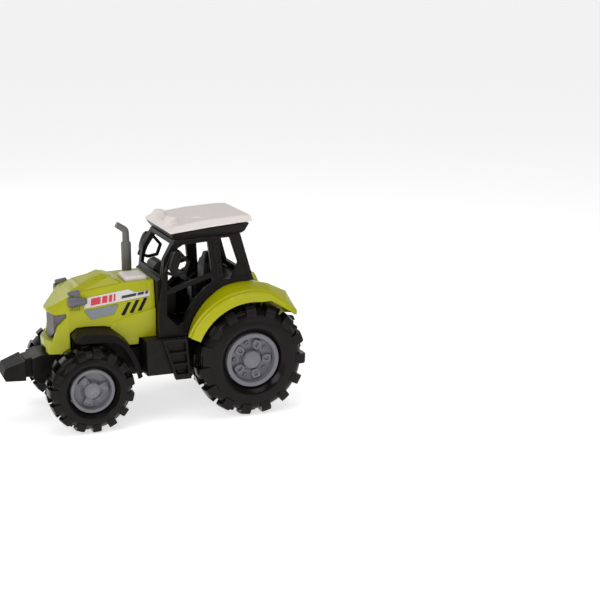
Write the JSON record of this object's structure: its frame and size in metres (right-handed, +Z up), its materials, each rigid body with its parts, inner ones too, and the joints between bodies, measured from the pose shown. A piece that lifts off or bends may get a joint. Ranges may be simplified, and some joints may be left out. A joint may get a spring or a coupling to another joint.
{
  "type": "toy farm tractor",
  "caption": "Toy farm tractor with free-rolling lugged wheels, open-window cab, press button on the hood and a rear tow hook.",
  "frame": {"origin": "on the ground, under the middle of the bounding box", "axes": "+Z up, -Y towards the nose, +X towards the tractor's left side"},
  "size_m": [0.096, 0.206, 0.1322],
  "materials": {
    "steel": "plain turned steel",
    "grey_plastic": "moulded mid-grey, satin",
    "tyre_rubber": "soft black vinyl, slight sheen",
    "black_plastic": "moulded black, satin",
    "gloss_black_plastic": "moulded black, polished",
    "green_plastic": "moulded lime green, glossy",
    "dark_grey_plastic": "moulded dark grey, satin",
    "white_plastic": "moulded warm white, satin gloss",
    "pale_grey_plastic": "printed pale blue-grey panel",
    "board_green": "circuit board lacquer",
    "brass": "turned brass"
  },
  "bodies": {
    "tractor_body": {"button_spring": "steel", "speaker": "steel", "battery_1": "steel", "battery_2": "steel", "battery_3": "steel", "headlight_left": "grey_plastic", "headlight_right": "grey_plastic", "exhaust_stack": "grey_plastic", "chassis": "black_plastic", "front_bracket": "black_plastic", "front_weight": "black_plastic", "rear_hitch": "black_plastic", "front_mudguard_left": "black_plastic", "front_mudguard_right": "black_plastic", "side_tank_left": "black_plastic", "side_tank_right": "black_plastic", "ladder_left": "black_plastic", "ladder_right": "black_plastic", "cab_side_left": "black_plastic", "cab_side_right": "black_plastic", "cab_front": "black_plastic", "cab_rear": "black_plastic", "cab_floor": "black_plastic", "cab_ceiling": "black_plastic", "dashboard": "black_plastic", "seat": "black_plastic", "mirror_left": "black_plastic", "mirror_right": "black_plastic", "battery_cover": "black_plastic", "steering_wheel": "gloss_black_plastic", "hood": "green_plastic", "rear_fender_left": "green_plastic", "rear_fender_right": "green_plastic", "nose_grille": "dark_grey_plastic", "motor_housing": "dark_grey_plastic", "roof": "white_plastic", "side_label_left": "white_plastic", "side_label_right": "white_plastic", "side_panel_left": "pale_grey_plastic", "side_panel_right": "pale_grey_plastic", "sound_board": "board_green"},
    "rear_wheels": {"rear_axle": "steel", "rear_rim_left": "grey_plastic", "rear_rim_right": "grey_plastic", "rear_tyre_left": "tyre_rubber", "rear_tyre_right": "tyre_rubber", "axle_gear": "white_plastic"},
    "front_wheels": {"front_axle": "steel", "front_rim_left": "grey_plastic", "front_rim_right": "grey_plastic", "front_tyre_left": "tyre_rubber", "front_tyre_right": "tyre_rubber"},
    "motor_layshaft": {"layshaft": "white_plastic"},
    "motor_flywheel": {"flywheel": "brass"},
    "button": {"sound_button": "white_plastic"}
  },
  "joints": [
    {"name": "rear_wheels_spin", "type": "hinge", "parent": "tractor_body", "child": "rear_wheels", "pos_m": [0, 0.055, 0.038], "axis": [1, 0, 0], "continuous": true},
    {"name": "front_wheels_spin", "type": "hinge", "parent": "tractor_body", "child": "front_wheels", "pos_m": [0, -0.052, 0.028], "axis": [1, 0, 0], "continuous": true},
    {"name": "layshaft_spin", "type": "hinge", "parent": "tractor_body", "child": "motor_layshaft", "pos_m": [0, 0.04592, 0.04], "axis": [1, 0, 0], "continuous": true},
    {"name": "flywheel_spin", "type": "hinge", "parent": "tractor_body", "child": "motor_flywheel", "pos_m": [0, 0.03722, 0.04], "axis": [1, 0, 0], "continuous": true},
    {"name": "button_press", "type": "slide", "parent": "tractor_body", "child": "button", "axis": [0, 0, -1], "range_m": [0, 0.0015], "stiffness_N_per_m": 120, "springref_m": -0.003, "deforming": ["button_spring"]}
  ],
  "couplings": [
    {"joint": "layshaft_spin", "follows": "rear_wheels_spin", "ratio": -2.4444},
    {"joint": "flywheel_spin", "follows": "rear_wheels_spin", "ratio": 5.4321}
  ]
}
